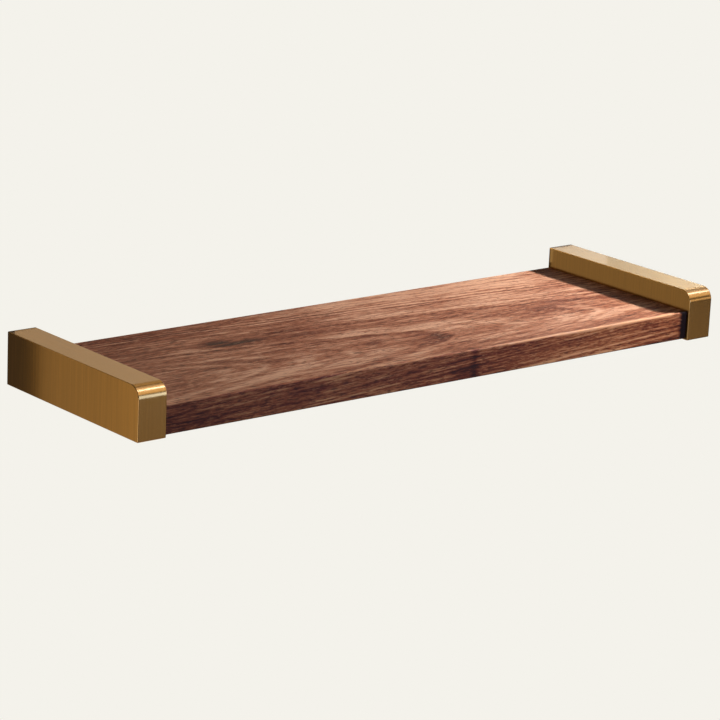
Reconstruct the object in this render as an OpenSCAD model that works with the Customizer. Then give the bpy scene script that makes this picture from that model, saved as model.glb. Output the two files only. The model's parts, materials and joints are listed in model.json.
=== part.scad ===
// Wall shelf: a solid wood board held between two brushed metal bracket bars.
// Units are millimetres. X runs along the wall, Y points into the wall, Z is up.
// The wall's surface is the plane y = 0, and the origin is the centre of the four wall screw holes.
// Each bracket slides over a channel-shaped wall plate and is locked from below by a grub screw.
// A flat ledge under each end of the board ties it to its bracket, and two steel pins line them up.

/* [Shelf] */
// Overall length, from one bracket's outer face to the other's
shelf_length = 400; // [300:1:900]
// Depth from the wall to the brackets' front faces
shelf_depth = 120; // [100:1:250]
// Thickness of the board
board_t = 16; // [13:0.1:30]
// How far the board's front edge sits behind the brackets' front faces
board_setback = 1.5; // [0:0.1:8]
// Gap between the board's back edge and the wall
board_wall_gap = 0.5; // [0.2:0.1:3]
// Joint gap between each end of the board and its bracket
board_end_gap = 0.2; // [0:0.1:1]

/* [Brackets] */
// Width of each bracket bar
bracket_w = 17.5; // [14.5:0.1:30]
// Height of the brackets' rims above the board
rim_h = 12; // [6:0.1:30]
// Height of the board's underside above the brackets' undersides
board_lift = 1; // [0.4:0.1:1.4]
// Radius of each bracket's top front corner
corner_r = 7; // [2:0.5:12]

/* [Wall mounting] */
// Metal left on each side of the rear pocket
pocket_side = 2.5; // [1.5:0.1:4]
// Metal left over the rear pocket
pocket_roof = 3; // [2:0.1:6]
// Metal left under the rear pocket
pocket_floor = 3.5; // [2:0.1:6]
// Room left in front of the wall plate's lips, inside the pocket
pocket_end_room = 1; // [0.5:0.5:5]
// Thickness of the wall plate's upright web
web_t = 3; // [2:0.1:5]
// Thickness of the wall plate's top and bottom lips
lip_t = 2; // [1.5:0.1:3]
// Reach of the lips in front of the web
lip_reach = 11; // [10:0.5:30]
// Play at each side of the wall plate, and twice as much under it
plate_play = 0.25; // [0.1:0.05:0.5]
// Diameter of the wall screw holes
wall_hole_d = 4.5; // [3:0.1:6]
// Room kept between each wall hole's centre and the nearest lip, for a screw head
head_room = 4; // [3:0.1:5]

/* [Support ledges] */
// Thickness of each ledge plate
ledge_t = 2; // [1.6:0.1:3]
// Width of the ledge under the bracket
ledge_grip = 12; // [10:0.5:14]
// Width of the ledge under the board
ledge_reach = 14; // [11:0.5:40]
// Distance from the bracket's front face to the ledge
ledge_front = 12; // [5:0.5:40]
// Distance from the wall to the ledge
ledge_rear = 22; // [20:0.5:60]
// Radius of the ledge's corners
ledge_corner_r = 3; // [1:0.5:5]
// Play around the ledge in its recesses
ledge_play = 0.2; // [0.1:0.05:0.5]

/* [Screws and pins] */
// Distance from each end of the ledge to its nearest screws
screw_inset = 18; // [12:0.5:24]
// Distance from the bracket's inner face to the screws, on both sides of it
screw_offset = 7; // [5:0.5:8]
// Diameter of the machine screws into the bracket
machine_screw_d = 3; // [2.5:0.1:3.6]
// Length of the machine screws, with their heads
machine_screw_len = 8; // [6:0.5:8]
// Diameter of the wood screws into the board
wood_screw_d = 3.2; // [2.5:0.1:3.5]
// Length of the wood screws, with their heads
wood_screw_len = 12; // [8:0.5:12]
// How much wider each countersunk head is than its shank
head_margin = 3; // [2.4:0.1:3.2]
// Extra width of the ledge's holes around the shanks
shank_play = 0.3; // [0.1:0.1:0.6]
// Diameter of the grub screw that locks the bracket to its wall plate
grub_d = 5; // [4:0.5:6]
// How deep the grub screw sits inside the bracket's underside
grub_sink = 0.3; // [0:0.1:1]
// How far the grub screw's tip stops short of the lip's upper face
grub_short = 0.4; // [0.2:0.1:1]
// Width across the flats of the grub screw's hexagon socket
grub_socket_w = 2.5; // [2:0.5:3]
// Diameter of the locating pins
pin_d = 4; // [3:0.5:5]
// Length of the locating pins, half in the bracket and half in the board
pin_len = 16; // [12:1:20]
// Extra width of the pin holes in the board
pin_play = 0.1; // [0.05:0.05:0.3]
// Extra depth at the end of each blind hole
hole_end_room = 1; // [0.5:0.5:3]
// Distance from the wall, and from the front face, to the locating pins
pin_inset = 24; // [23:0.5:26]

/* [Hidden] */
$fn = 64;
eps = 0.01;
left = -1;
right = 1;

// Heights, all tied to the wall plate's centre
bracket_h = board_lift + board_t + rim_h;
plate_h = bracket_h - pocket_roof - pocket_floor - 2 * plate_play;
bracket_top_z = plate_h / 2 + pocket_roof;
bracket_bottom_z = bracket_top_z - bracket_h;
board_bottom_z = bracket_bottom_z + board_lift;
ledge_top_z = bracket_bottom_z + ledge_t;
pin_z = board_bottom_z + board_t / 2;
wall_hole_z = plate_h / 2 - lip_t - head_room;

// Places along the wall, for the right-hand side
inner_x = shelf_length / 2 - bracket_w;
bracket_mid_x = shelf_length / 2 - bracket_w / 2;
board_end_x = inner_x - board_end_gap;

// Places along the depth
pocket_depth = web_t + lip_reach + pocket_end_room;
grub_y = -(web_t + lip_reach / 2);
ledge_l = shelf_depth - ledge_front - ledge_rear;
rear_screw_y = -(ledge_rear + screw_inset);
front_screw_y = -(shelf_depth - ledge_front - screw_inset);
rear_pin_y = -pin_inset;
front_pin_y = -(shelf_depth - pin_inset);

// Grub screw, worked out from what it passes through
lip_bottom_z = -plate_h / 2;
grub_bottom_z = bracket_bottom_z + grub_sink;
grub_top_z = lip_bottom_z + lip_t - grub_short;
grub_len = grub_top_z - grub_bottom_z;
grub_socket_depth = grub_len / 2;

brass = "#9a7338";
walnut = "#7a4a33";
steel = "#9a9c9e";
dark_steel = "#4a4b4d";

// Draws a right-hand piece, or its mirror image on the left
module on_side(side) {
    if (side == right) children();
    else mirror([1, 0, 0]) children();
}

// A rectangle with rounded corners, its lower left corner at the origin
module rounded_rect(size_x, size_y, r) {
    translate([r, 0]) square([size_x - 2 * r, size_y]);
    translate([0, r]) square([size_x, size_y - 2 * r]);
    for (cx = [r, size_x - r], cy = [r, size_y - r])
        translate([cx, cy]) circle(r);
}

// The side outline of a bracket, with the front at the left and height along Y
module bracket_outline() {
    translate([-shelf_depth, 0]) square([shelf_depth, bracket_h - corner_r]);
    translate([corner_r - shelf_depth, 0]) square([shelf_depth - corner_r, bracket_h]);
    translate([corner_r - shelf_depth, bracket_h - corner_r]) circle(corner_r);
}

// The ledge's plan shape as a solid, grown by play on every side
module ledge_slab(play, h) {
    translate([inner_x - ledge_reach - play, -(shelf_depth - ledge_front) - play, 0])
        linear_extrude(h)
            rounded_rect(ledge_reach + ledge_grip + 2 * play, ledge_l + 2 * play, ledge_corner_r + play);
}

// A countersunk screw standing on its head at the bracket's underside
module countersunk_form(d, len) {
    head_h = head_margin / 2;
    cylinder(d1 = d + head_margin, d2 = d, h = head_h);
    cylinder(d = d, h = len);
}

// A cross-shaped driving recess
module cross_recess(d, depth) {
    slot_w = d / 4;
    for (angle = [0, 90])
        rotate(angle) translate([-d / 2, -slot_w / 2, -eps]) cube([d, slot_w, depth]);
}

module at_ledge_screw(x_offset, y) {
    translate([inner_x + x_offset, y, bracket_bottom_z]) children();
}

module at_pin(y) {
    translate([inner_x - pin_len / 2, y, pin_z]) rotate([0, 90, 0]) children();
}

module shelf_board() {
    color(walnut) difference() {
        translate([-board_end_x, -(shelf_depth - board_setback), board_bottom_z])
            cube([2 * board_end_x, shelf_depth - board_setback - board_wall_gap, board_t]);
        for (side = [left, right]) on_side(side) {
            translate([0, 0, board_bottom_z - eps]) ledge_slab(ledge_play, ledge_top_z - board_bottom_z + eps);
            for (y = [rear_screw_y, front_screw_y])
                at_ledge_screw(-screw_offset, y) cylinder(d = wood_screw_d, h = wood_screw_len + hole_end_room);
            for (y = [rear_pin_y, front_pin_y])
                at_pin(y) translate([0, 0, -hole_end_room]) cylinder(d = pin_d + pin_play, h = pin_len);
        }
    }
}

module bracket(side) {
    pocket_w = bracket_w - 2 * pocket_side;
    pocket_h = bracket_h - pocket_roof - pocket_floor;
    color(brass) on_side(side) difference() {
        translate([inner_x, 0, bracket_bottom_z])
            rotate([90, 0, 90]) linear_extrude(bracket_w) bracket_outline();
        translate([inner_x + pocket_side, -pocket_depth, bracket_bottom_z + pocket_floor])
            cube([pocket_w, pocket_depth + eps, pocket_h]);
        translate([bracket_mid_x, grub_y, bracket_bottom_z - eps]) cylinder(d = grub_d, h = pocket_floor + 2 * eps);
        translate([0, 0, bracket_bottom_z - eps]) ledge_slab(ledge_play, ledge_t + eps);
        for (y = [rear_screw_y, front_screw_y])
            at_ledge_screw(screw_offset, y)
                cylinder(d = machine_screw_d, h = machine_screw_len + hole_end_room);
        for (y = [rear_pin_y, front_pin_y])
            at_pin(y) translate([0, 0, pin_len / 4]) cylinder(d = pin_d, h = pin_len * 3 / 4 + hole_end_room);
    }
}

module wall_plate(side) {
    plate_w = bracket_w - 2 * pocket_side - 2 * plate_play;
    color(dark_steel) on_side(side) difference() {
        translate([bracket_mid_x - plate_w / 2, 0, -plate_h / 2]) {
            translate([0, -web_t, 0]) cube([plate_w, web_t, plate_h]);
            for (z = [0, plate_h - lip_t])
                translate([0, -web_t - lip_reach, z]) cube([plate_w, web_t + lip_reach, lip_t]);
        }
        for (z = [-wall_hole_z, wall_hole_z])
            translate([bracket_mid_x, eps, z]) rotate([90, 0, 0]) cylinder(d = wall_hole_d, h = web_t + 2 * eps);
        translate([bracket_mid_x, grub_y, lip_bottom_z - eps]) cylinder(d = grub_d, h = lip_t + 2 * eps);
    }
}

module grub_screw(side) {
    color(steel) on_side(side) translate([bracket_mid_x, grub_y, grub_bottom_z]) difference() {
        cylinder(d = grub_d, h = grub_len);
        translate([0, 0, -eps]) cylinder(d = grub_socket_w / cos(30), h = grub_socket_depth, $fn = 6);
    }
}

module support_ledge(side) {
    color(brass) on_side(side) difference() {
        translate([0, 0, bracket_bottom_z]) ledge_slab(0, ledge_t);
        for (y = [rear_screw_y, front_screw_y]) {
            at_ledge_screw(screw_offset, y) ledge_hole(machine_screw_d);
            at_ledge_screw(-screw_offset, y) ledge_hole(wood_screw_d);
        }
    }
}

// A countersunk hole through the ledge for a screw of diameter d
module ledge_hole(d) {
    cylinder(d1 = d + head_margin, d2 = d, h = head_margin / 2);
    translate([0, 0, -eps]) cylinder(d = d + shank_play, h = ledge_t + 2 * eps);
}

module locating_pin(side, y) {
    color(steel) on_side(side) at_pin(y) cylinder(d = pin_d, h = pin_len);
}

module machine_screw(side, y) {
    color(steel) on_side(side) at_ledge_screw(screw_offset, y) difference() {
        countersunk_form(machine_screw_d, machine_screw_len);
        cross_recess(machine_screw_d, machine_screw_d / 2);
    }
}

module wood_screw(side, y) {
    tip_h = wood_screw_d;
    color(steel) on_side(side) at_ledge_screw(-screw_offset, y) difference() {
        union() {
            countersunk_form(wood_screw_d, wood_screw_len - tip_h);
            translate([0, 0, wood_screw_len - tip_h]) cylinder(d1 = wood_screw_d, d2 = 0, h = tip_h);
        }
        cross_recess(wood_screw_d, wood_screw_d / 2);
    }
}

shelf_board();
bracket(left);  // left_bracket
bracket(right);  // right_bracket
wall_plate(left);  // left_wall_plate
wall_plate(right);  // right_wall_plate
grub_screw(left);  // left_grub_screw
grub_screw(right);  // right_grub_screw
support_ledge(left);  // left_support_ledge
support_ledge(right);  // right_support_ledge
locating_pin(left, rear_pin_y);  // left_rear_pin
locating_pin(left, front_pin_y);  // left_front_pin
locating_pin(right, rear_pin_y);  // right_rear_pin
locating_pin(right, front_pin_y);  // right_front_pin
machine_screw(left, rear_screw_y);  // left_rear_machine_screw
machine_screw(left, front_screw_y);  // left_front_machine_screw
machine_screw(right, rear_screw_y);  // right_rear_machine_screw
machine_screw(right, front_screw_y);  // right_front_machine_screw
wood_screw(left, rear_screw_y);  // left_rear_wood_screw
wood_screw(left, front_screw_y);  // left_front_wood_screw
wood_screw(right, rear_screw_y);  // right_rear_wood_screw
wood_screw(right, front_screw_y);  // right_front_wood_screw
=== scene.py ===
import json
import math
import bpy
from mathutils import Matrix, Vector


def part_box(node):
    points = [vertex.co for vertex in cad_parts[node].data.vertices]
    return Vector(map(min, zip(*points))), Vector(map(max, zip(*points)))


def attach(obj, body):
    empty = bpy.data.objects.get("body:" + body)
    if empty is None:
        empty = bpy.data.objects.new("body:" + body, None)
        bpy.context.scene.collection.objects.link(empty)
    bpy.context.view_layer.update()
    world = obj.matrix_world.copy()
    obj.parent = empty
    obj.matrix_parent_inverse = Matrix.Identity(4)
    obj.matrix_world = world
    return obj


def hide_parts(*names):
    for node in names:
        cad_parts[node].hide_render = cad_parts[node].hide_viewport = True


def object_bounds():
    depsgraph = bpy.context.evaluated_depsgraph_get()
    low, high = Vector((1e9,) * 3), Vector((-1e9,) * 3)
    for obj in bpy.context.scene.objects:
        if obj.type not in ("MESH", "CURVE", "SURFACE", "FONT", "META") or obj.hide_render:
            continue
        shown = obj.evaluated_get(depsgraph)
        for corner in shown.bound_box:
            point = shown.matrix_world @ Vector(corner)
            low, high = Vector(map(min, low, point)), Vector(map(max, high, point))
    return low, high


bl_info = {
    "name": "Walnut Wall Shelf",
    "version": (1, 0, 0),
    "blender": (4, 5, 0),
    "location": "View3D > Sidebar > Wall Shelf",
    "description": "A walnut board held between two brushed brass bars, with every hidden fixing",
    "category": "Add Mesh",
}

import bpy
from mathutils import Matrix, Vector

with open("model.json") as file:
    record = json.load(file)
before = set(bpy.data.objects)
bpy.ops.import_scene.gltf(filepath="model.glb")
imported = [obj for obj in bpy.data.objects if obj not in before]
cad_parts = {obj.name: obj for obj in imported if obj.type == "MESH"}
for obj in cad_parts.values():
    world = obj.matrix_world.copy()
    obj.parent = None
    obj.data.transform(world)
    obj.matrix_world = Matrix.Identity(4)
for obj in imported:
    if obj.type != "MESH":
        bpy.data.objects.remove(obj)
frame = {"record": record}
cad_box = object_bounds()
wall_holes = next(mount for mount in frame["record"]["mounts"] if mount["name"] == "wall_holes")["dims"]

MM = 0.001
FULL_TURN = 2 * math.pi
QUARTER_TURN = math.pi / 2
SIDES = ("left", "right")
ENDS = ("rear", "front")
# How far a cutter passes the surface that it cuts
OVERSHOOT = 1 * MM
# Turns a flat outline's x, y and height into the shelf's y, z and x, for pieces that run along the wall
ALONG_WALL = Matrix(((0, 0, 1, 0), (1, 0, 0, 0), (0, 1, 0, 0), (0, 0, 0, 1)))
# Turns an outline's x, y and height into the shelf's x, z and -y, for cuts made from the wall side
FROM_WALL = Matrix(((1, 0, 0, 0), (0, 0, -1, 0), (0, 1, 0, 0), (0, 0, 0, 1)))


# Outlines and meshes

def fillet(corners, steps=6):
    """A closed outline through (x, y, radius) corners, each one rounded by its radius."""
    points = []
    for index, (x, y, radius) in enumerate(corners):
        corner = Vector((x, y))
        before = (Vector(corners[index - 1][:2]) - corner).normalized()
        after = (Vector(corners[(index + 1) % len(corners)][:2]) - corner).normalized()
        half_angle = before.angle(after) / 2
        centre = corner + (before + after).normalized() * (radius / math.sin(half_angle))
        start = corner + before * (radius / math.tan(half_angle)) - centre
        end = corner + after * (radius / math.tan(half_angle)) - centre
        sweep = math.atan2(start.x * end.y - start.y * end.x, start.dot(end))
        for k in range(steps + 1):
            angle = math.atan2(start.y, start.x) + sweep * k / steps
            points.append((centre.x + radius * math.cos(angle), centre.y + radius * math.sin(angle)))
    return points


def rectangle(low, high, inset, radii, steps=6):
    """A rectangle's outline, inset on every side. The radii go anticlockwise from the lower left corner."""
    (x0, y0), (x1, y1) = low, high
    places = ((x0 + inset, y0 + inset), (x1 - inset, y0 + inset),
              (x1 - inset, y1 - inset), (x0 + inset, y1 - inset))
    return fillet([(x, y, max(r - inset, 0.05 * MM)) for (x, y), r in zip(places, radii)], steps)


def loft(name, rings, place):
    """A closed mesh skinned over rings of equal count, with flat caps, set in the shelf by a matrix."""
    count = len(rings[0])
    last = (len(rings) - 1) * count
    faces = [tuple(reversed(range(count))), tuple(range(last, last + count))]
    for base in range(0, last, count):
        for k in range(count):
            following = (k + 1) % count
            faces.append((base + k, base + following, base + count + following, base + count + k))
    mesh = bpy.data.meshes.new(name)
    mesh.from_pydata([tuple(place @ Vector(point)) for ring in rings for point in ring], [], faces)
    mesh.validate()
    return mesh


def stack(name, outline, levels, place=Matrix()):
    """A solid with the section outline(inset) at each (inset, height) level."""
    return loft(name, [[(x, y, height) for x, y in outline(inset)] for inset, height in levels], place)


def round_rings(profile, count=64):
    """Level circles for (radius, height) pairs."""
    angles = [FULL_TURN * k / count for k in range(count)]
    return [[(max(r, 0.001 * MM) * math.cos(a), max(r, 0.001 * MM) * math.sin(a), height) for a in angles]
            for r, height in profile]


def thread_rings(crest_at, start, end, pitch, depth, count=48, steps_in_pitch=8):
    """Rings of a screw thread: crest_at(height) is its outer radius, and the groove runs in a helix."""
    steps = math.ceil((end - start) / pitch * steps_in_pitch)
    rings = []
    for step in range(steps + 1):
        height = start + (end - start) * step / steps
        ring = []
        for k in range(count):
            phase = (height / pitch - k / count) % 1
            groove = depth * min(1, 1.25 * (1 - abs(2 * phase - 1)))
            radius = max(crest_at(height) - groove, 0.02 * MM)
            angle = FULL_TURN * k / count
            ring.append((radius * math.cos(angle), radius * math.sin(angle), height))
        rings.append(ring)
    return rings


def eased(bottom, top, radius, steps=4):
    """Levels for stack() that round the rims at both ends by radius."""
    arc = [QUARTER_TURN * k / steps for k in range(steps + 1)]
    rise = [(radius * (1 - math.sin(a)), radius * (1 - math.cos(a))) for a in arc]
    return [(inset, bottom + height) for inset, height in rise] + \
        [(inset, top - height) for inset, height in reversed(rise)]


def add_piece(name, mesh):
    piece = bpy.data.objects.new(name, mesh)
    bpy.context.scene.collection.objects.link(piece)
    return piece


def cut(piece, cutters):
    """Cuts the meshes out of the piece, and keeps only the result."""
    tools = []
    for number, mesh in enumerate(cutters):
        tool = add_piece(f"{piece.name}_cutter_{number}", mesh)
        tools.append(tool)
        modifier = piece.modifiers.new(f"cut_{number}", "BOOLEAN")
        modifier.operation = "DIFFERENCE"
        modifier.solver = "EXACT"
        modifier.object = tool
    bpy.context.view_layer.update()
    result = bpy.data.meshes.new_from_object(piece.evaluated_get(bpy.context.evaluated_depsgraph_get()))
    piece.modifiers.clear()
    piece.data = result
    for tool in tools:
        bpy.data.objects.remove(tool)


def finish_piece(piece, material, node):
    """Gives a piece its material, clean shading and its body, and hides the CAD node that it stands for."""
    piece.data.materials.clear()
    piece.data.materials.append(material)
    for polygon in piece.data.polygons:
        polygon.material_index = 0
        polygon.use_smooth = True
    piece.data.set_sharp_from_angle(angle=math.radians(35))
    flats = piece.modifiers.new("flat_faces", "WEIGHTED_NORMAL")
    flats.keep_sharp = True
    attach(piece, "root")
    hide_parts(node)


def upright(node):
    """A round piece that stands upright: the place matrix of its foot, its radius and its length."""
    low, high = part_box(node)
    foot = Matrix.Translation(((low.x + high.x) / 2, (low.y + high.y) / 2, low.z))
    return foot, (high.x - low.x) / 2, high.z - low.z


def lying(node):
    """A round piece that lies along the wall: the place matrix of its left end, its radius and its length."""
    low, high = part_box(node)
    end = Matrix.Translation((low.x, (low.y + high.y) / 2, (low.z + high.z) / 2)) @ ALONG_WALL
    return end, (high.z - low.z) / 2, high.x - low.x


# Shader helpers

def linear(hex_code):
    """An sRGB hex colour as the linear RGBA that shaders take."""
    values = [int(hex_code[i:i + 2], 16) / 255 for i in (1, 3, 5)]
    return tuple(v / 12.92 if v <= 0.04045 else ((v + 0.055) / 1.055) ** 2.4 for v in values) + (1.0,)


def add_node(tree, kind, inputs=None, **settings):
    """Adds a node with its settings. Each input is a value, or the output or the node that feeds it."""
    node = tree.nodes.new(kind)
    for key, value in settings.items():
        setattr(node, key, value)
    for key, value in (inputs or {}).items():
        feed = value.outputs[0] if isinstance(value, bpy.types.Node) else value
        if isinstance(feed, bpy.types.NodeSocket):
            tree.links.new(feed, node.inputs[key])
        else:
            node.inputs[key].default_value = feed
    return node


def new_material(name):
    """An empty material and its node tree."""
    material = bpy.data.materials.new(name)
    material.use_nodes = True
    material.node_tree.nodes.clear()
    return material, material.node_tree


def per_mm(*sizes):
    """The scale of a pattern along each axis, from the size of its features there in millimetres."""
    return tuple(1 / size for size in sizes)


def position_mm(tree):
    """The point on the object in millimetres, in the shelf's own frame."""
    place = add_node(tree, "ShaderNodeTexCoord").outputs["Object"]
    return add_node(tree, "ShaderNodeVectorMath", {0: place, "Scale": 1 / MM}, operation="SCALE")


def spot(tree, position, centre, size):
    """A soft spot: 1 at its centre, falling away over its size in millimetres along each axis."""
    offset = add_node(tree, "ShaderNodeVectorMath", {0: position, 1: centre}, operation="SUBTRACT")
    scaled = add_node(tree, "ShaderNodeVectorMath", {0: offset, 1: per_mm(*size)}, operation="MULTIPLY")
    squared = add_node(tree, "ShaderNodeVectorMath", {0: scaled, 1: scaled}, operation="DOT_PRODUCT")
    falling = add_node(tree, "ShaderNodeMath", {0: squared.outputs["Value"], 1: -1.0}, operation="MULTIPLY")
    return add_node(tree, "ShaderNodeMath", {0: falling}, operation="EXPONENT")


# Materials

def oiled_walnut(settings):
    """American walnut, planed, sanded and oiled: a satin, reddish brown surface whose growth rings show as
    nested arches, opening to the left along the front half, with a small knot and short dark pores."""
    material, tree = new_material("oiled_walnut")
    low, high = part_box("shelf_board")
    front, top = low.y / MM, high.z / MM
    # Taller than the board, so that a mark on one face goes right through it
    through = 60.0
    position = position_mm(tree)
    # The grain wanders slowly, over lengths of some 60 mm along the board and 15 mm across it
    slow = add_node(tree, "ShaderNodeVectorMath", {0: position, 1: per_mm(60, 15, 15)}, operation="MULTIPLY")
    wander = add_node(tree, "ShaderNodeTexNoise", {"Vector": slow, "Scale": 1.0, "Detail": 2.0,
                                                   "Roughness": 0.5}).outputs["Color"]
    centred = add_node(tree, "ShaderNodeVectorMath", {0: wander, 1: (0.5, 0.5, 0.5)}, operation="SUBTRACT")
    sway_mm = (20.0, 7.5, 1.5)
    swayed = add_node(tree, "ShaderNodeVectorMath", {0: centred, 1: sway_mm, 2: position},
                      operation="MULTIPLY_ADD")
    # Growth rings: arches around a line 32 mm behind the front edge, tilted so that they climb the front face
    arch_line, arch_bend, climb = front + 32.0, 0.10, -16.0
    axes = add_node(tree, "ShaderNodeSeparateXYZ", {0: swayed}).outputs
    off_line = add_node(tree, "ShaderNodeMath", {0: axes["Y"], 1: arch_line}, operation="SUBTRACT")
    squared = add_node(tree, "ShaderNodeMath", {0: off_line, 1: off_line}, operation="MULTIPLY")
    arch = add_node(tree, "ShaderNodeMath", {0: squared, 1: arch_bend, 2: axes["X"]},
                    operation="MULTIPLY_ADD")
    climbing = add_node(tree, "ShaderNodeMath", {0: axes["Z"], 1: climb, 2: arch}, operation="MULTIPLY_ADD")
    # The rings bulge by 70 mm around the knot, and it is a little darker than they are
    knot = spot(tree, position, (-94.0, -40.0, top), (11.0, 5.0, through))
    ring = add_node(tree, "ShaderNodeMath", {0: knot, 1: 70.0, 2: climbing}, operation="MULTIPLY_ADD")
    ring_mm = 28.57
    bands = add_node(tree, "ShaderNodeTexNoise", {"W": ring, "Scale": 1 / ring_mm, "Detail": 2.5,
                                                  "Roughness": 0.6}, noise_dimensions="1D")
    # Fibres, pores and clouds of tone. Fibres and pores are some three times coarser than real ones, so that
    # they show
    patterns = []
    for size, detail, roughness in (((30, 2.2, 1.6), 3.0, 0.65), ((5.0, 0.95, 0.7), 2.0, 0.7),
                                    ((90, 18, 18), 2.0, 0.5)):
        stretched = add_node(tree, "ShaderNodeVectorMath", {0: swayed, 1: per_mm(*size)},
                             operation="MULTIPLY")
        patterns.append(add_node(tree, "ShaderNodeTexNoise", {"Vector": stretched, "Scale": 1.0,
                                                              "Detail": detail, "Roughness": roughness}))
    streaks, flecks, clouds = patterns
    # Darker and paler areas, grain marks among them and painted shade, painted shadow and painted highlight
    # on the front edge: middle, size along each axis, and how much darker
    grain_marks_and_painted_light = add_node(tree, "ShaderNodeMath", {0: knot, 1: 0.13}, operation="MULTIPLY")
    for centre, size, darker in (
            # Beside the knot, and a dark fleck near the front edge
            ((-80.0, -44.0, top), (18.0, 6.0, through), 0.10),
            ((-19.0, -82.0, top), (5.0, 3.0, through), 0.14),
            # The dark line across the front edge, and a pale patch to its left
            ((22.0, front, -6.0), (2.4, 3.0, through), 0.12),
            ((15.0, front, -6.0), (9.0, 3.0, through), 0.05),
            ((-74.0, front, -1.0), (8.0, 3.0, 4.0), -0.06),
            # Painted shade darkens the front edge below the top, and painted light makes it less dark to the
            # right and adds a paler pool low down on it
            ((0.0, front, -7.0), (900.0, 0.9, 12.0), 0.08),
            ((115.0, front, -6.0), (80.0, 2.0, through), -0.06),
            ((95.0, front, -12.0), (45.0, 2.0, 5.0), -0.08),
            # Painted shadow: a dark strip on the front edge where the right bar casts its shadow over it
            ((180.7, front, -6.0), (2.6, 3.0, through), 0.45),
            # Broad areas of the top
            ((80.0, -15.0, top), (120.0, 28.0, through), -0.06),
            ((-120.0, -20.0, top), (60.0, 30.0, through), 0.03),
            ((-115.0, -105.0, top), (45.0, 14.0, through), -0.08),
            ((115.0, -100.0, top), (40.0, 12.0, through), -0.08),
            # Painted highlight: a pale line along the right half of the front edge's rim
            ((105.0, front + 0.3, top - 0.2), (75.0, 0.9, 0.9), -0.35)):
        grain_marks_and_painted_light = add_node(tree, "ShaderNodeMath", {0: spot(tree, position, centre, size), 1: darker, 2: grain_marks_and_painted_light},
                         operation="MULTIPLY_ADD")
    # The marks, with the painted shadow and painted highlight, also set how many pores and pale flecks show
    flecks_marks_and_painted_light = add_node(tree, "ShaderNodeMath", {0: grain_marks_and_painted_light, 1: 0.5, 2: flecks}, operation="MULTIPLY_ADD")
    pores = add_node(tree, "ShaderNodeMapRange", {0: flecks_marks_and_painted_light, 1: 0.52, 2: 0.66})
    glints = add_node(tree, "ShaderNodeMapRange", {0: flecks_marks_and_painted_light, 1: 0.46, 2: 0.34})
    # The tone is about half rings and half fibres, with the clouds, the marks and the painted shade and light
    # on top
    fibres = add_node(tree, "ShaderNodeMath", {0: streaks, 1: 0.55}, operation="MULTIPLY")
    grain = add_node(tree, "ShaderNodeMath", {0: bands, 1: 0.50, 2: fibres}, operation="MULTIPLY_ADD")
    levelled = add_node(tree, "ShaderNodeMath", {0: grain, 1: 0.225}, operation="SUBTRACT")
    cloudy = add_node(tree, "ShaderNodeMath", {0: clouds, 1: 0.40, 2: levelled}, operation="MULTIPLY_ADD")
    tone = add_node(tree, "ShaderNodeMath", {0: cloudy, 1: grain_marks_and_painted_light}, operation="SUBTRACT")
    wood = add_node(tree, "ShaderNodeValToRGB", {0: tone})
    stops = wood.color_ramp.elements
    stops.remove(stops[-1])
    stops[0].position, stops[0].color = 0.26, settings.pores
    for place, colour in ((0.38, settings.late_wood), (0.50, settings.middle_wood),
                          (0.64, settings.early_wood)):
        stops.new(place).color = colour
    pore_depth = add_node(tree, "ShaderNodeMath", {0: pores, 1: 0.70}, operation="MULTIPLY")
    darkened = add_node(tree, "ShaderNodeMix", {0: pore_depth, 6: wood, 7: settings.pores},
                        data_type="RGBA").outputs[2]
    glint_depth = add_node(tree, "ShaderNodeMath", {0: glints, 1: 0.42}, operation="MULTIPLY")
    lightened = add_node(tree, "ShaderNodeMix", {0: glint_depth, 6: darkened, 7: settings.early_wood},
                         data_type="RGBA").outputs[2]
    # Painted shade: the front edge, which gets less light, is tinted warmer and darker than the top
    front_edge = spot(tree, position, (0.0, front, -6.0), (900.0, 1.5, 900.0))
    front_painted_shade = add_node(tree, "ShaderNodeMix", {0: front_edge, 6: lightened, 7: settings.painted_front_shade},
                     data_type="RGBA", blend_type="MULTIPLY").outputs[2]
    raised = add_node(tree, "ShaderNodeMath", {0: streaks, 1: 0.5}, operation="MULTIPLY")
    height = add_node(tree, "ShaderNodeMath", {0: raised, 1: pores}, operation="SUBTRACT")
    bump = add_node(tree, "ShaderNodeBump", {"Height": height, "Strength": 0.4, "Distance": 0.08 * MM})
    # The front edge is rubbed shiny along its right half
    rubbed = spot(tree, position, (105.0, front + 0.3, top - 0.3), (80.0, 0.8, 0.8))
    smooth = add_node(tree, "ShaderNodeMapRange", {0: flecks, 1: 0.62, 2: 0.42})
    shiny = add_node(tree, "ShaderNodeMath", {0: rubbed, 1: smooth}, operation="MULTIPLY")
    shader = add_node(tree, "ShaderNodeBsdfPrincipled", {
        "Base Color": front_painted_shade, "Roughness": 0.50, "Specular IOR Level": 0.16, "Normal": bump,
        "Coat Weight": shiny, "Coat Roughness": 0.3})
    add_node(tree, "ShaderNodeOutputMaterial", {"Surface": shader})
    return material


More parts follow.
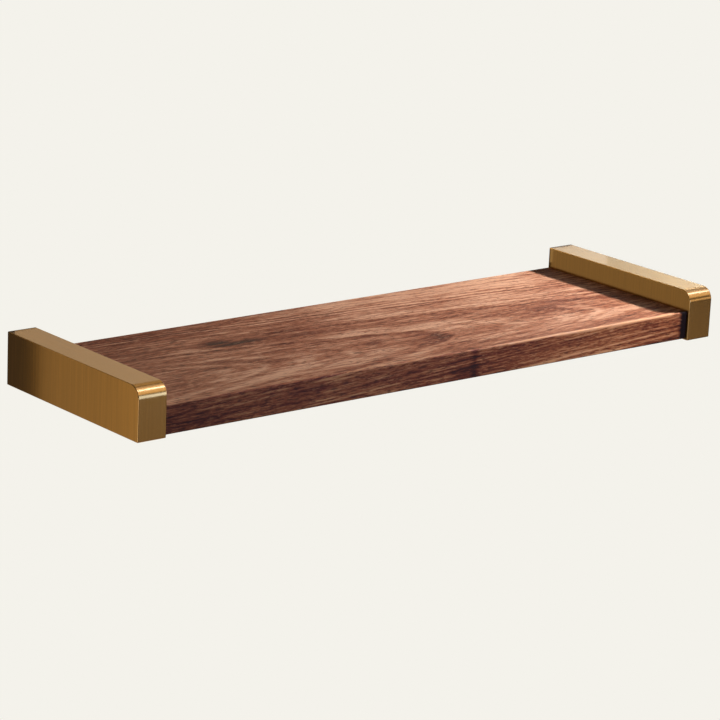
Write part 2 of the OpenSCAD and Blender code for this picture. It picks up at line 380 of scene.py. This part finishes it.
def brushed_brass(name, colour, line_mm):
    """Solid brass brushed in one direction: a satin, deep gold surface covered in fine parallel lines. They
    run along the bar on its top, over its corner and down its front, and upright on its sides."""
    material, tree = new_material(name)
    position = position_mm(tree)
    # Real brushed lines are some 0.1 mm wide, too fine to show, so the widest of these are 1 mm wide
    brushings = []
    for size in ((line_mm, 60, 60), (60, line_mm, 60)):
        stretched = add_node(tree, "ShaderNodeVectorMath", {0: position, 1: per_mm(*size)},
                             operation="MULTIPLY")
        brushings.append(add_node(tree, "ShaderNodeTexNoise", {"Vector": stretched, "Scale": 1.0,
                                                               "Detail": 4.0, "Roughness": 0.7}))
    along_bar, upright_lines = brushings
    normal = add_node(tree, "ShaderNodeNewGeometry").outputs["True Normal"]
    facing = add_node(tree, "ShaderNodeSeparateXYZ", {0: normal}).outputs["X"]
    sideways = add_node(tree, "ShaderNodeMath", {0: facing}, operation="ABSOLUTE")
    on_side = add_node(tree, "ShaderNodeMath", {0: sideways, 1: 0.7}, operation="GREATER_THAN")
    lines = add_node(tree, "ShaderNodeMix", {0: on_side, 2: along_bar, 3: upright_lines}, data_type="FLOAT")
    contrast = add_node(tree, "ShaderNodeMapRange", {0: lines, 1: 0.35, 2: 0.65})
    dark = tuple(value * 0.90 for value in colour[:3]) + (1.0,)
    bright = tuple(value * 1.06 for value in colour)
    lined = add_node(tree, "ShaderNodeMix", {0: contrast, 6: dark, 7: bright}, data_type="RGBA").outputs[2]
    # Light spreads less along the lines of the top, the corner and the front
    sheen = add_node(tree, "ShaderNodeMapRange", {0: lines, 1: 0.3, 2: 0.7, 3: 0.22, 4: 0.26})
    spreading = add_node(tree, "ShaderNodeMath", {0: on_side, 1: 0.06, 2: sheen}, operation="MULTIPLY_ADD")
    bump = add_node(tree, "ShaderNodeBump", {"Height": lines, "Strength": 0.15, "Distance": 0.01 * MM})
    # A thin lacquer keeps the brass from tarnishing
    shader = add_node(tree, "ShaderNodeBsdfPrincipled", {
        "Base Color": lined, "Metallic": 1.0, "Roughness": spreading, "Normal": bump,
        "Coat Weight": 0.5, "Coat Roughness": 0.2})
    add_node(tree, "ShaderNodeOutputMaterial", {"Surface": shader})
    return material


def turned_metal(name, colour, roughness, line_mm, mottle):
    """Machined or plated metal: a smooth skin with faint tool marks, drawn coarser than real ones so that
    they show, and a slow change of tone where it is plated or blackened."""
    material, tree = new_material(name)
    position = position_mm(tree)
    fine = add_node(tree, "ShaderNodeVectorMath", {0: position, 1: per_mm(line_mm, line_mm, line_mm)},
                    operation="MULTIPLY")
    lines = add_node(tree, "ShaderNodeTexNoise", {"Vector": fine, "Scale": 1.0, "Detail": 1.0,
                                                  "Roughness": 0.5})
    broad = add_node(tree, "ShaderNodeVectorMath", {0: position, 1: per_mm(4, 4, 4)}, operation="MULTIPLY")
    patches = add_node(tree, "ShaderNodeTexNoise", {"Vector": broad, "Scale": 1.0, "Detail": 3.0,
                                                    "Roughness": 0.5})
    dark = tuple(value * (1 - mottle) for value in colour[:3]) + (1.0,)
    mottled = add_node(tree, "ShaderNodeMix", {0: patches, 6: dark, 7: colour}, data_type="RGBA").outputs[2]
    sheen = add_node(tree, "ShaderNodeMapRange", {0: lines, 1: 0.3, 2: 0.7, 3: roughness - 0.05,
                                                  4: roughness + 0.05})
    bump = add_node(tree, "ShaderNodeBump", {"Height": lines, "Strength": 0.2, "Distance": 0.01 * MM})
    shader = add_node(tree, "ShaderNodeBsdfPrincipled", {
        "Base Color": mottled, "Metallic": 1.0, "Roughness": sheen, "Normal": bump})
    add_node(tree, "ShaderNodeOutputMaterial", {"Surface": shader})
    return material


def matt_wall_paint(colour):
    """Matt emulsion on plaster: it scatters light and has no shine."""
    material, tree = new_material("matt_wall_paint")
    shader = add_node(tree, "ShaderNodeBsdfPrincipled", {"Base Color": colour, "Roughness": 0.9})
    add_node(tree, "ShaderNodeOutputMaterial", {"Surface": shader})
    return material


def backdrop_paper(colour):
    """Plain backdrop paper, lit evenly, so that it is one pale tone."""
    material, tree = new_material("backdrop_paper")
    glow = add_node(tree, "ShaderNodeEmission", {"Color": colour, "Strength": 1.0})
    add_node(tree, "ShaderNodeOutputMaterial", {"Surface": glow})
    return material


def grey_card(colour):
    """Grey card, lit evenly, that can be seen through from its back."""
    material, tree = new_material("grey_card")
    glow = add_node(tree, "ShaderNodeEmission", {"Color": colour, "Strength": 1.0})
    clear = add_node(tree, "ShaderNodeBsdfTransparent")
    back = add_node(tree, "ShaderNodeNewGeometry").outputs["Backfacing"]
    both = add_node(tree, "ShaderNodeMixShader", {0: back, 1: glow, 2: clear})
    add_node(tree, "ShaderNodeOutputMaterial", {"Surface": both})
    return material


# Settings

def colour_setting(name, description, hex_code):
    return bpy.props.FloatVectorProperty(
        name=name, description=description, subtype="COLOR", size=4, min=0, max=1, default=linear(hex_code))


def length_setting(name, description, millimetres):
    return bpy.props.FloatProperty(name=name, description=description, unit="LENGTH", min=0,
                                   default=millimetres * MM)


class BoardSettings(bpy.types.PropertyGroup):
    edge: length_setting("Edge radius", "Rounding along the board's long edges", 0.7)
    end_edge: length_setting("End edge radius", "Rounding at the board's ends", 0.3)
    pin_play: length_setting("Pin play", "Extra radius of the pin holes", 0.05)
    late_wood: colour_setting("Late wood", "The dark lines of the growth rings", "#67301D")
    middle_wood: colour_setting("Middle wood", "The main tone of the wood", "#915539")
    early_wood: colour_setting("Early wood", "The pale bands of the growth rings", "#C4906E")
    pores: colour_setting("Pores", "The short dark lines along the grain", "#2E150C")
    # Painted shade: a warm tint that darkens the front edge, which gets less light
    painted_front_shade: colour_setting("Edge oil", "How the oil tints the wood of the front edge", "#FFF6E2")


class BracketSettings(bpy.types.PropertyGroup):
    corner: length_setting("Corner radius", "Radius of the top front corner", 7)
    edge: length_setting("Edge radius", "Rounding along the other edges", 0.5)
    plate_play: length_setting("Plate play", "Room at each side of the wall plate", 0.25)
    pocket_room: length_setting("Pocket room", "Room in front of the wall plate", 1)
    ledge_play: length_setting("Ledge play", "Room around the support ledge", 0.2)
    brass: colour_setting("Brass", "Colour of the brushed brass", "#C98F43")
    line_width: length_setting("Brush lines", "Width of the widest brushed lines", 1.0)


class FixingSettings(bpy.types.PropertyGroup):
    web: length_setting("Web thickness", "Thickness of the wall plate's upright web", 3)
    lip: length_setting("Lip thickness", "Thickness of the wall plate's lips", 2)
    ledge_corner: length_setting("Ledge corners", "Radius of the support ledge's corners", 3)
    head_flare: length_setting("Head flare", "How far a countersunk head stands out from its shank", 1.5)
    shank_play: length_setting("Shank play", "Room around a shank in the ledge", 0.15)
    socket: length_setting("Socket width", "Width across the flats of the grub screw's socket", 2.5)
    screw_brass: colour_setting("Screw brass", "Colour of the turned brass screws", "#D8B066")
    zinc: colour_setting("Zinc", "Colour of the plated wall plates", "#B9BEC4")
    steel: colour_setting("Steel", "Colour of the ground pins", "#A9A8A6")
    black: colour_setting("Black oxide", "Colour of the blackened grub screws", "#2B2A2B")


class StageSettings(bpy.types.PropertyGroup):
    paper: colour_setting("Backdrop", "Colour of the floor and the backdrop", "#F4F2EB")
    wall: colour_setting("Wall paint", "Colour of the reflecting wall", "#9A9783")
    room: colour_setting("Room", "Colour of the even light from all around", "#F2EEE6")
    card: colour_setting("Card", "Tone of the card that the right bar mirrors", "#969389")


# Pieces

def ledge_recess(side, play, mouth_z):
    """The cutter for a support ledge's recess, with a chamfered mouth."""
    low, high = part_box(f"{side}_support_ledge")
    corner = bpy.context.scene.shelf_fixings.ledge_corner + play
    chamfer, reach = 0.2 * MM, 2 * MM

    def outline(inset):
        return rectangle((low.x - play, low.y - play), (high.x + play, high.y + play), inset, [corner] * 4)

    levels = [(-chamfer - reach, mouth_z - reach), (0, mouth_z + chamfer), (0, high.z)]
    return stack("recess", outline, levels)


def fixing_hole(node, play, room):
    """The cutter for a screw's hole or a pin's hole, with room past its tips."""
    foot, radius, length = lying(node) if node.endswith("pin") else upright(node)
    if node.endswith("screw"):
        radius -= bpy.context.scene.shelf_fixings.head_flare
    profile = [(0, -room - radius / 2), (radius + play, -room), (radius + play, length + room),
               (0, length + room + radius / 2)]
    return loft("hole", round_rings(profile, 48), foot)


class SHELF_OT_board(bpy.types.Operator):
    """Build the walnut board, with eased edges, a shallow recess for each ledge and holes for its fixings"""
    bl_idname = "shelf.board"
    bl_label = "Walnut Board"

    def execute(self, context):
        settings = context.scene.shelf_board
        low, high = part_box("shelf_board")

        def outline(inset):
            return rectangle((low.y, low.z), (high.y, high.z), inset, [settings.edge] * 4, 5)

        rounding = eased(low.x, high.x, settings.end_edge)
        board = add_piece("walnut_board", stack("walnut_board", outline, rounding, ALONG_WALL))
        cutters = []
        for side in SIDES:
            cutters.append(ledge_recess(side, context.scene.shelf_bracket.ledge_play, low.z))
            for end in ENDS:
                cutters.append(fixing_hole(f"{side}_{end}_wood_screw", 0, OVERSHOOT))
                cutters.append(fixing_hole(f"{side}_{end}_pin", settings.pin_play, OVERSHOOT))
        cut(board, cutters)
        finish_piece(board, oiled_walnut(settings), "shelf_board")
        return {"FINISHED"}


class SHELF_OT_brackets(bpy.types.Operator):
    """Build both brass bars, each with its rear pocket, its ledge recess and its drilled holes"""
    bl_idname = "shelf.brackets"
    bl_label = "Brass Bars"

    def execute(self, context):
        settings = context.scene.shelf_bracket
        material = brushed_brass("brushed_brass", settings.brass, settings.line_width / MM)
        for side in SIDES:
            low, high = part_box(f"{side}_bracket")
            radii = [settings.edge] * 3 + [settings.corner]

            def outline(inset):
                return rectangle((low.y, low.z), (high.y, high.z), inset, radii, 16)

            bar = add_piece(f"{side}_brass_bar", stack("bar", outline, eased(low.x, high.x, settings.edge),
                                                       ALONG_WALL))
            cutters = [self.pocket(side, settings), self.grub_hole(side, low.z),
                       ledge_recess(side, settings.ledge_play, low.z)]
            for end in ENDS:
                cutters.append(fixing_hole(f"{side}_{end}_machine_screw", 0, OVERSHOOT))
                cutters.append(fixing_hole(f"{side}_{end}_pin", 0, OVERSHOOT))
            cut(bar, cutters)
            finish_piece(bar, material, f"{side}_bracket")
        return {"FINISHED"}

    def pocket(self, side, settings):
        """The pocket that slides over the wall plate, open at the back, with milled corners."""
        low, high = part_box(f"{side}_wall_plate")
        play, chamfer, corner = settings.plate_play, 0.3 * MM, 0.6 * MM
        depth = high.y - low.y + settings.pocket_room

        def outline(inset):
            return rectangle((low.x - play, low.z - 2 * play), (high.x + play, high.z), inset,
                             [corner] * 4, 4)

        levels = [(-chamfer - OVERSHOOT, -OVERSHOOT), (0, chamfer), (0, depth)]
        return stack("pocket", outline, levels, FROM_WALL)

    def grub_hole(self, side, bottom_z):
        """The grub screw's hole through the bar's underside into the pocket, with a chamfered mouth."""
        foot, radius, length = upright(f"{side}_grub_screw")
        chamfer = 0.25 * MM
        sink = foot.translation.z - bottom_z
        profile = [(radius + chamfer + OVERSHOOT, -sink - OVERSHOOT), (radius, chamfer - sink),
                   (radius, length)]
        return loft("grub_hole", round_rings(profile), foot)


class SHELF_OT_wall_plates(bpy.types.Operator):
    """Build the channel-shaped wall plates, with their screw holes"""
    bl_idname = "shelf.wall_plates"
    bl_label = "Wall Plates"

    def execute(self, context):
        settings = context.scene.shelf_fixings
        material = turned_metal("zinc_plated_steel", settings.zinc, 0.38, 0.4, 0.25)
        for side in SIDES:
            low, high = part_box(f"{side}_wall_plate")
            web, lip = high.y - settings.web, settings.lip

            def outline(inset):
                outer, tip, inner = 0.8 * MM - inset, 0.5 * MM - inset, 0.8 * MM + inset
                front, back, bottom, top = low.y + inset, high.y - inset, low.z + inset, high.z - inset
                roof, sill, face = high.z - lip + inset, low.z + lip - inset, web + inset
                return fillet([
                    (front, bottom, tip), (back, bottom, outer), (back, top, outer), (front, top, tip),
                    (front, roof, tip), (face, roof, inner), (face, sill, inner), (front, sill, tip)])

            rounding = eased(low.x, high.x, 0.25 * MM, 3)
            plate = add_piece(f"{side}_steel_plate", stack("plate", outline, rounding, ALONG_WALL))
            centre = (low + high) / 2
            hole_r, rise = wall_holes["hole_r_mm"] * MM, wall_holes["spacing_y_mm"] / 2 * MM
            cutters = []
            for z in (centre.z - rise, centre.z + rise):
                place = Matrix.Translation((centre.x, 0, z)) @ FROM_WALL
                profile = [(hole_r, -OVERSHOOT), (hole_r, settings.web + OVERSHOOT)]
                cutters.append(loft("wall_hole", round_rings(profile), place))
            foot, radius, length = upright(f"{side}_grub_screw")
            cutters.append(loft("grub_hole", round_rings([(radius, 0), (radius, length + OVERSHOOT)]), foot))
            cut(plate, cutters)
            finish_piece(plate, material, f"{side}_wall_plate")
        return {"FINISHED"}


class SHELF_OT_grub_screws(bpy.types.Operator):
    """Build the threaded grub screws with hexagon sockets"""
    bl_idname = "shelf.grub_screws"
    bl_label = "Grub Screws"

    def execute(self, context):
        settings = context.scene.shelf_fixings
        material = turned_metal("blackened_steel", settings.black, 0.42, 0.3, 0.3)
        corner = settings.socket / 2 / math.cos(math.pi / 6)
        chamfer = 0.6 * MM

        def hexagon(inset):
            angles = [FULL_TURN * k / 6 for k in range(6)]
            return fillet([((corner - inset) * math.cos(a), (corner - inset) * math.sin(a), 0.03 * MM)
                           for a in angles], 2)

        for side in SIDES:
            foot, radius, length = upright(f"{side}_grub_screw")

            def crest(height):
                return min(radius, radius - chamfer + height, radius - chamfer + length - height)

            screw = add_piece(f"{side}_socket_screw",
                              loft("grub", thread_rings(crest, 0, length, 0.8 * MM, 0.42 * MM), foot))
            levels = [(-0.7 * MM, -0.5 * MM), (0, 0.2 * MM), (0, length / 2),
                      (corner * 0.9, length / 2 + 0.7 * MM)]
            cut(screw, [stack("socket", hexagon, levels, foot)])
            finish_piece(screw, material, f"{side}_grub_screw")
        return {"FINISHED"}


class SHELF_OT_ledges(bpy.types.Operator):
    """Build the flat brass ledges that carry the board, with countersunk holes"""
    bl_idname = "shelf.ledges"
    bl_label = "Support Ledges"

    def execute(self, context):
        settings = context.scene.shelf_fixings
        bracket = context.scene.shelf_bracket
        material = brushed_brass("brushed_brass_ledges", bracket.brass, bracket.line_width / MM)
        for side in SIDES:
            low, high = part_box(f"{side}_support_ledge")

            def outline(inset):
                return rectangle((low.x, low.y), (high.x, high.y), inset, [settings.ledge_corner] * 4, 8)

            rounding = eased(low.z, high.z, 0.25 * MM, 3)
            ledge = add_piece(f"{side}_brass_ledge", stack("ledge", outline, rounding))
            cutters = []
            for end in ENDS:
                for kind in ("machine", "wood"):
                    foot, radius, _ = upright(f"{side}_{end}_{kind}_screw")
                    shank = radius - settings.head_flare + settings.shank_play
                    profile = [(radius + OVERSHOOT, -OVERSHOOT), (shank, radius - shank),
                               (shank, high.z - low.z + OVERSHOOT)]
                    cutters.append(loft("countersink", round_rings(profile), foot))
            cut(ledge, cutters)
            finish_piece(ledge, material, f"{side}_support_ledge")
        return {"FINISHED"}


def cross(half_length, half_width, inset):
    """A cross-shaped outline with rounded corners."""
    a, w = half_length - inset, half_width - inset / 4
    corners = []
    for k in range(4):
        c, s = round(math.cos(k * QUARTER_TURN)), round(math.sin(k * QUARTER_TURN))
        for x, y in ((a, -w), (a, w), (w, w)):
            corners.append((c * x - s * y, s * x + c * y, w / 3))
    return fillet(corners, 3)


def countersunk_screw(name, node, shank_end, pitch, depth, material):
    """A countersunk screw with a cross recess; shank_end(height, length, shank) is its crest radius."""
    flare = bpy.context.scene.shelf_fixings.head_flare
    foot, radius, length = upright(node)
    shank = radius - flare
    rim = 0.15 * MM
    head = round_rings([(radius - rim, 0), (radius, rim), (radius, 1.5 * rim), (shank, flare),
                        (shank, flare + 2 * rim)], 48)

    def crest(height):
        return shank_end(height, length, shank)

    rings = head + thread_rings(crest, flare + 3 * rim, length, pitch, depth)
    screw = add_piece(name, loft("screw", rings, foot))
    levels = [(-0.2 * MM, -0.2 * MM), (0, 0.05 * MM), (shank * 0.35, shank * 0.8), (shank * 0.72, shank)]
    cut(screw, [stack("recess", lambda inset: cross(shank * 1.05, shank * 0.28, inset), levels, foot)])
    finish_piece(screw, material, node)


class SHELF_OT_screws(bpy.types.Operator):
    """Build the machine screws into the bars and the wood screws into the board"""
    bl_idname = "shelf.screws"
    bl_label = "Screws"

    def execute(self, context):
        material = turned_metal("turned_brass", context.scene.shelf_fixings.screw_brass, 0.28, 0.3, 0.1)

        def blunt_end(height, length, shank):
            return min(shank, shank - 0.4 * MM + length - height)

        def sharp_end(height, length, shank):
            return min(shank, (length - height) / 2)

        for side in SIDES:
            for end in ENDS:
                countersunk_screw(f"{side}_{end}_bar_screw", f"{side}_{end}_machine_screw", blunt_end,
                                  0.5 * MM, 0.3 * MM, material)
                countersunk_screw(f"{side}_{end}_board_screw", f"{side}_{end}_wood_screw", sharp_end,
                                  1.3 * MM, 0.5 * MM, material)
        return {"FINISHED"}


class SHELF_OT_pins(bpy.types.Operator):
    """Build the ground steel pins that line up the board and the bars"""
    bl_idname = "shelf.pins"
    bl_label = "Locating Pins"

    def execute(self, context):
        material = turned_metal("ground_steel", context.scene.shelf_fixings.steel, 0.22, 0.2, 0.1)
        chamfer = 0.5 * MM
        for side in SIDES:
            for end in ENDS:
                foot, radius, length = lying(f"{side}_{end}_pin")
                tip = [(radius - chamfer, 0), (radius - 0.2 * chamfer, 0.8 * chamfer),
                       (radius, 1.2 * chamfer)]
                profile = tip + [(r, length - height) for r, height in reversed(tip)]
                pin = add_piece(f"{side}_{end}_steel_pin", loft("pin", round_rings(profile, 48), foot))
                finish_piece(pin, material, f"{side}_{end}_pin")
        return {"FINISHED"}


class SHELF_OT_stage(bpy.types.Operator):
    """Set up the plain pale floor and backdrop, the studio lights and the camera"""
    bl_idname = "shelf.stage"
    bl_label = "Stage, Lights and Camera"

    def execute(self, context):
        settings = context.scene.shelf_stage
        paper = backdrop_paper(settings.paper)
        radius, floor_top, floor_bottom = 6.0, -2.2, -2.22
        floor = loft("floor", round_rings([(radius, floor_bottom), (radius, floor_top)]), Matrix())
        arc = [math.radians(a) for a in range(-90, 91, 10)]
        outline = [(radius * math.cos(a), radius * math.sin(a)) for a in arc]
        dome = loft("dome", round_rings(outline), Matrix())
        for name, mesh in (("floor", floor), ("backdrop", dome)):
            piece = add_piece(name, mesh)
            piece.data.materials.append(paper)
            piece.visible_diffuse = False
            piece.visible_glossy = False
            piece.visible_transmission = False
            piece.visible_shadow = False
        self.wall(settings)
        self.inner_card(settings)
        world = bpy.data.worlds.new("studio")
        world.use_nodes = True
        world.node_tree.nodes["Background"].inputs[0].default_value = settings.room
        world.node_tree.nodes["Background"].inputs[1].default_value = AMBIENT
        context.scene.world = world
        for light in LIGHTS:
            add_light(*light)
        add_camera(context)
        context.scene.view_settings.view_transform = "Standard"
        context.scene.view_settings.look = "None"
        return {"FINISHED"}

    def wall(self, settings):
        """The painted wall above the shelf. It only shows in reflections."""
        board_low, board_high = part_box("shelf_board")
        bar_top = cad_box[1][2] + 1 * MM
        half_width, ceiling, behind = 0.6, 0.13, 0.3 * MM
        areas = ((board_low.x, board_high.z, board_high.x, bar_top),
                 (-half_width, bar_top, half_width, ceiling))
        points = [(x, behind, z) for x0, z0, x1, z1 in areas
                  for x, z in ((x0, z0), (x1, z0), (x1, z1), (x0, z1))]
        mesh = bpy.data.meshes.new("wall")
        mesh.from_pydata(points, [], [(0, 1, 2, 3), (4, 5, 6, 7)])
        wall = add_piece("wall_card", mesh)
        wall.data.materials.append(matt_wall_paint(settings.wall))
        self.only_in_reflections(wall)

    def inner_card(self, settings):
        """A dim card over the board's right end, so that the right bar's inner face mirrors one grey tone."""
        low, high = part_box("right_bracket")
        board_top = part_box("shelf_board")[1].z
        x, gap = low.x - 2 * MM, 0.1 * MM
        mesh = bpy.data.meshes.new("inner")
        mesh.from_pydata([(x, low.y, board_top + gap), (x, high.y, board_top + gap), (x, high.y, high.z),
                          (x, low.y, high.z)], [], [(0, 1, 2, 3)])
        card = add_piece("inner_card", mesh)
        card.data.materials.append(grey_card(settings.card))
        self.only_in_reflections(card)

    def only_in_reflections(self, card):
        card.visible_camera = False
        card.visible_diffuse = False
        card.visible_shadow = False


# Strength of the even light from all around
AMBIENT = 0.075
# Name, colour, centre, what it faces, the way its width runs, width, height, power, and whether it lights
# matt surfaces and shows in reflections. The key casts the bars' shadows; the strips and cards in front are
# what the bars' corners and fronts mirror; the glows on the wall are what their tops mirror
LIGHTS = [
    ("key", "#ECF3FF", (0.56, -0.23, 0.272), (0.15, -0.06, 0.0), (1, 1, 0), 0.035, 0.035, 12.5, True, False),
    ("high_strip", "#8FAEFF", (0.44, -0.32, 0.515), (0.0, -0.117, 0.01), (4, 1, 0), 0.62, 0.075, 2.6,
     False, True),
    ("overhead_card", "#D8E0FF", (0.35, -0.13, 0.60), (0.0, -0.117, 0.01), (4, 1, 0), 1.0, 0.22, 0.7,
     False, True),
    ("high_panel", "#FFFFFF", (0.44, -0.45, 0.50), (0.0, -0.117, 0.01), (4, 1, 0), 1.1, 0.6, 2.2,
     False, True),
    ("left_front_strip", "#90B4FF", (0.24, -0.60, 0.04), (0.0, -0.117, 0.01), (1, 0, 0), 0.30, 0.20, 1.25,
     False, True),
    ("right_front_strip", "#FFFFFF", (0.58, -0.60, 0.05), (0.2, -0.117, 0.01), (1, 0, 0), 0.25, 0.13, 0.15,
     False, True),
    ("front_card", "#FFFFFF", (0.5, -0.9, -0.35), (0.0, -0.1, 0.0), (1, 1, 0), 0.8, 0.4, 0.205, False, True),
    ("edge_card", "#D0DCFF", (-0.75, -0.60, -0.2), (-0.2, -0.12, 0.0), (1, -1, 0), 0.5, 0.5, 2.0,
     False, True),
    ("left_wall_glow", "#FFF1C0", (-0.40, -0.001, -0.06), (-0.40, -1.0, -0.06), (1, 0, 0), 0.36, 0.22, 0.075,
     False, True),
    ("left_wall_end", "#FFF1C0", (-0.42, -0.002, -0.08), (-0.42, -1.0, -0.08), (1, 0, 0), 0.26, 0.22, 0.046,
     False, True),
    ("left_rim_glow", "#FFEEC4", (-0.113, -0.001, 0.068), (-0.113, -1.0, 0.068), (1, 0, 0), 0.166, 0.11,
     0.0175, False, True),
    ("right_rim_glow", "#E6F4FF", (0.205, -0.001, 0.03), (0.205, -1.0, 0.03), (1, 0, 0), 0.05, 0.05, 0.0028,
     False, True),
    ("left_high_glow", "#FFF6D3", (0.0, -0.001, 0.34), (0.0, -1.0, 0.34), (1, 0, 0), 0.25, 0.40, 0.15,
     False, True),
    ("right_high_glow", "#E6F4FF", (0.38, -0.001, 0.32), (0.38, -1.0, 0.32), (1, 0, 0), 0.30, 0.40, 0.28,
     False, True),
    ("back_fill", "#FFFFFF", (0.0, 1.4, -0.26), (0.0, 0.0, 0.0), (1, 0, 0), 1.6, 0.45, 7.0, True, False),
    ("back_card", "#FFFFFF", (0.8, 1.4, -0.26), (0.0, 0.0, 0.0), (1, 0, 0), 1.2, 0.45, 2.0, False, True),
    ("under_fill", "#FFFFFF", (0.0, -0.06, -0.8), (0.0, -0.06, 0.0), (1, 0, 0), 1.6, 1.1, 3.0, True, True),
    ("under_card", "#FFFFFF", (0.4, 0.9, -0.9), (0.0, -0.06, 0.0), (1, 0, 0), 1.4, 1.0, 3.0, False, True),
    ("right_fill", "#FFFFFF", (1.5, -0.3, 0.3), (0.2, -0.06, 0.0), (0, 1, 0), 1.0, 0.8, 2.5, False, True),
    ("left_fill", "#FFFFFF", (-1.5, -0.3, 0.4), (-0.2, -0.06, 0.0), (0, 1, 0), 0.8, 0.7, 1.2, False, True),
]


def add_light(name, colour, centre, target, along, width, height, power, on_matt, in_reflections):
    data = bpy.data.lights.new(name, "AREA")
    data.color = linear(colour)[:3]
    data.shape = "RECTANGLE"
    data.size = width
    data.size_y = height
    data.energy = power
    lamp = bpy.data.objects.new(name, data)
    across = Vector(along).normalized()
    back = Vector(centre) - Vector(target)
    back = (back - back.dot(across) * across).normalized()
    turn = Matrix((across, back.cross(across), back)).transposed()
    lamp.matrix_world = Matrix.Translation(centre) @ turn.to_4x4()
    lamp.visible_camera = False
    lamp.visible_diffuse = on_matt
    lamp.visible_glossy = in_reflections
    bpy.context.scene.collection.objects.link(lamp)


# Where the camera stands, in metres, and how it is turned, in degrees: to the right of straight at the wall,
# downwards, and rolled
CAMERA_PLACE = (-1.0328, -1.3009, 0.4388)
CAMERA_TURN = (39.497, 15.721, -2.605)
CAMERA_LENS = 152.2


def add_camera(context):
    azimuth, elevation, roll = (math.radians(a) for a in CAMERA_TURN)
    forward = Vector((math.sin(azimuth) * math.cos(elevation), math.cos(azimuth) * math.cos(elevation),
                      -math.sin(elevation)))
    level = Vector((math.cos(azimuth), -math.sin(azimuth), 0))
    down = forward.cross(level)
    right = level * math.cos(roll) + down * math.sin(roll)
    down = down * math.cos(roll) - level * math.sin(roll)
    data = bpy.data.cameras.new("camera")
    data.sensor_width = 36
    data.lens = CAMERA_LENS
    data.clip_end = 50
    camera = bpy.data.objects.new("camera", data)
    turn = Matrix((right, -down, -forward)).transposed()
    camera.matrix_world = Matrix.Translation(CAMERA_PLACE) @ turn.to_4x4()
    context.scene.collection.objects.link(camera)
    context.scene.camera = camera


class SHELF_PT_panel(bpy.types.Panel):
    bl_label = "Wall Shelf"
    bl_idname = "SHELF_PT_panel"
    bl_space_type = "VIEW_3D"
    bl_region_type = "UI"
    bl_category = "Wall Shelf"

    def draw(self, context):
        for operator in OPERATORS:
            self.layout.operator(operator.bl_idname)


SETTINGS = {
    "shelf_board": BoardSettings,
    "shelf_bracket": BracketSettings,
    "shelf_fixings": FixingSettings,
    "shelf_stage": StageSettings,
}
OPERATORS = (SHELF_OT_board, SHELF_OT_brackets, SHELF_OT_wall_plates, SHELF_OT_grub_screws, SHELF_OT_ledges,
             SHELF_OT_screws, SHELF_OT_pins, SHELF_OT_stage)


def register():
    for name, group in SETTINGS.items():
        bpy.utils.register_class(group)
        setattr(bpy.types.Scene, name, bpy.props.PointerProperty(type=group))
    for operator in OPERATORS:
        bpy.utils.register_class(operator)
    bpy.utils.register_class(SHELF_PT_panel)


def unregister():
    bpy.utils.unregister_class(SHELF_PT_panel)
    for operator in reversed(OPERATORS):
        bpy.utils.unregister_class(operator)
    for name, group in SETTINGS.items():
        delattr(bpy.types.Scene, name)
        bpy.utils.unregister_class(group)


def main():
    register()
    bpy.ops.shelf.board()
    bpy.ops.shelf.brackets()
    bpy.ops.shelf.wall_plates()
    bpy.ops.shelf.grub_screws()
    bpy.ops.shelf.ledges()
    bpy.ops.shelf.screws()
    bpy.ops.shelf.pins()
    bpy.ops.shelf.stage()


if __name__ == "__main__":
    main()
